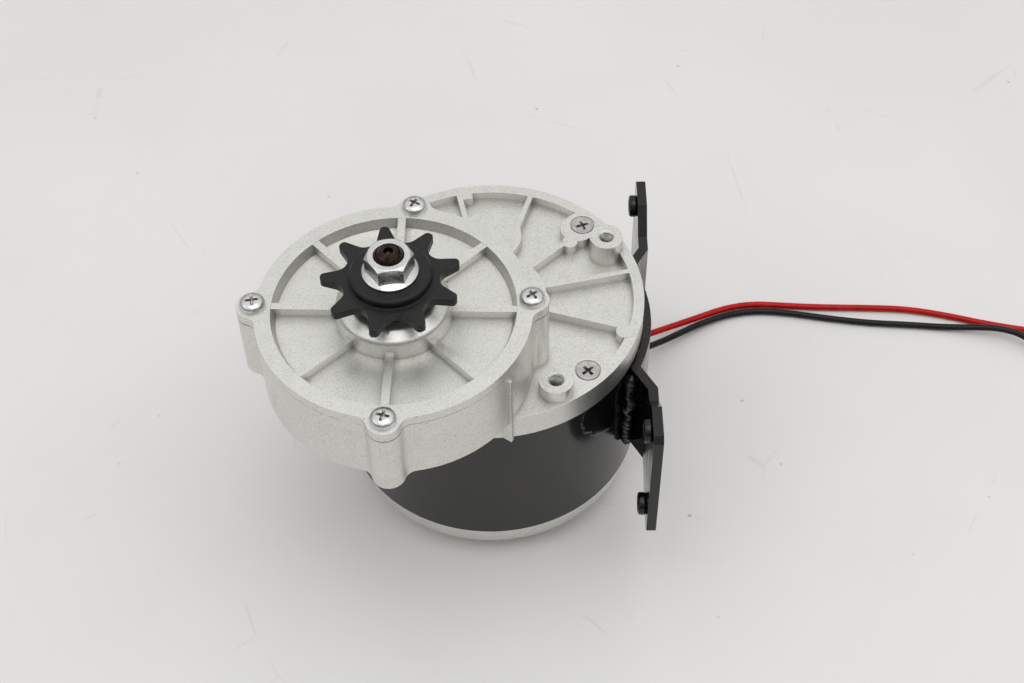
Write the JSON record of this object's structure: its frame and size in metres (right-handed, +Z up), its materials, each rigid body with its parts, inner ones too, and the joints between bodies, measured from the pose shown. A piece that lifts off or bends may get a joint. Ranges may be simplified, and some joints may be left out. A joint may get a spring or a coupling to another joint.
{
  "type": "electric motor",
  "caption": "Brushed DC motor with a two-stage spur gearbox, a chain sprocket on the output shaft, a flared mounting bracket on the can and two loose leads.",
  "frame": {"origin": "centre of the rear cap's flat rest face, on the motor shaft's axis", "axes": "+Z up the motor shaft towards the gearbox, +X out through the middle of the mounting bracket, +Y to its left"},
  "size_m": [0.3215, 0.1404, 0.1314],
  "materials": {
    "cast_aluminium": "silver sprayed die casting",
    "black_enamel": "gloss black enamel",
    "zinc_plate": "bright zinc plate",
    "nickel_screw": "dull plated steel",
    "black_oxide": "black oxide",
    "ground_steel": "machined",
    "bearing_steel": "ground and polished",
    "bronze": "sintered",
    "core_steel": "stacked sheet",
    "copper": "varnished",
    "phenolic": "moulded",
    "carbon": "pressed",
    "spring_steel": "drawn wire",
    "brass": "stamped",
    "ferrite": "sintered",
    "seal_rubber": "moulded",
    "gasket_paper": "pressed fibre",
    "red_insulation": "extruded",
    "black_insulation": "extruded"
  },
  "bodies": {
    "motor": {"gear_housing": "cast_aluminium", "gear_cover": "cast_aluminium", "rear_cap": "cast_aluminium", "bearing_plate": "cast_aluminium", "motor_can": "black_enamel", "mounting_bracket": "black_enamel", "weld_nuts": "black_enamel", "weld_beads": "black_enamel", "cover_screws": "zinc_plate", "through_bolts": "nickel_screw", "bearing_plate_screws": "nickel_screw", "wave_washer": "ground_steel", "rear_bearing_outer": "bearing_steel", "rear_bearing_balls": "bearing_steel", "front_bearing_outer": "bearing_steel", "front_bearing_balls": "bearing_steel", "lower_output_bearing_outer": "bearing_steel", "lower_output_bearing_balls": "bearing_steel", "upper_output_bearing_outer": "bearing_steel", "upper_output_bearing_balls": "bearing_steel", "lower_bush": "bronze", "upper_bush": "bronze", "brush_leads": "copper", "brush_plate": "phenolic", "brushes": "carbon", "brush_springs": "spring_steel", "brush_holders": "brass", "lead_red_terminal": "brass", "lead_black_terminal": "brass", "magnets": "ferrite", "shaft_seal": "seal_rubber", "lead_grommet": "seal_rubber", "cover_gasket": "gasket_paper", "lead_red": "red_insulation", "lead_red_coil": "red_insulation", "lead_red_sleeve": "red_insulation", "lead_black": "black_insulation", "lead_black_coil": "black_insulation", "lead_black_sleeve": "black_insulation"},
    "armature": {"armature_shaft": "ground_steel", "armature_stack": "core_steel", "armature_windings": "copper", "commutator_hub": "phenolic", "commutator_bars": "copper", "motor_pinion": "ground_steel", "rear_bearing_inner": "bearing_steel", "front_bearing_inner": "bearing_steel"},
    "intermediate": {"intermediate_shaft": "ground_steel", "intermediate_wheel": "ground_steel"},
    "output": {"output_shaft": "ground_steel", "output_gear": "ground_steel", "output_key": "ground_steel", "gear_spacer": "ground_steel", "lower_output_bearing_inner": "bearing_steel", "upper_output_bearing_inner": "bearing_steel", "sprocket_spacer": "ground_steel", "sprocket": "black_oxide", "sprocket_collar": "black_oxide", "flange_nut": "zinc_plate"}
  },
  "joints": [
    {"name": "armature_spin", "type": "hinge", "parent": "motor", "child": "armature", "pos_m": [0, 0, 0.04], "axis": [0, 0, 1], "continuous": true},
    {"name": "intermediate_spin", "type": "hinge", "parent": "motor", "child": "intermediate", "pos_m": [-0.02323, -0.00092, 0.085], "axis": [0, 0, 1], "continuous": true},
    {"name": "output_spin", "type": "hinge", "parent": "motor", "child": "output", "pos_m": [-0.028, -0.028, 0.1], "axis": [0, 0, 1], "continuous": true}
  ],
  "couplings": [
    {"joint": "intermediate_spin", "follows": "armature_spin", "ratio": -0.40909},
    {"joint": "output_spin", "follows": "armature_spin", "ratio": 0.10227}
  ]
}
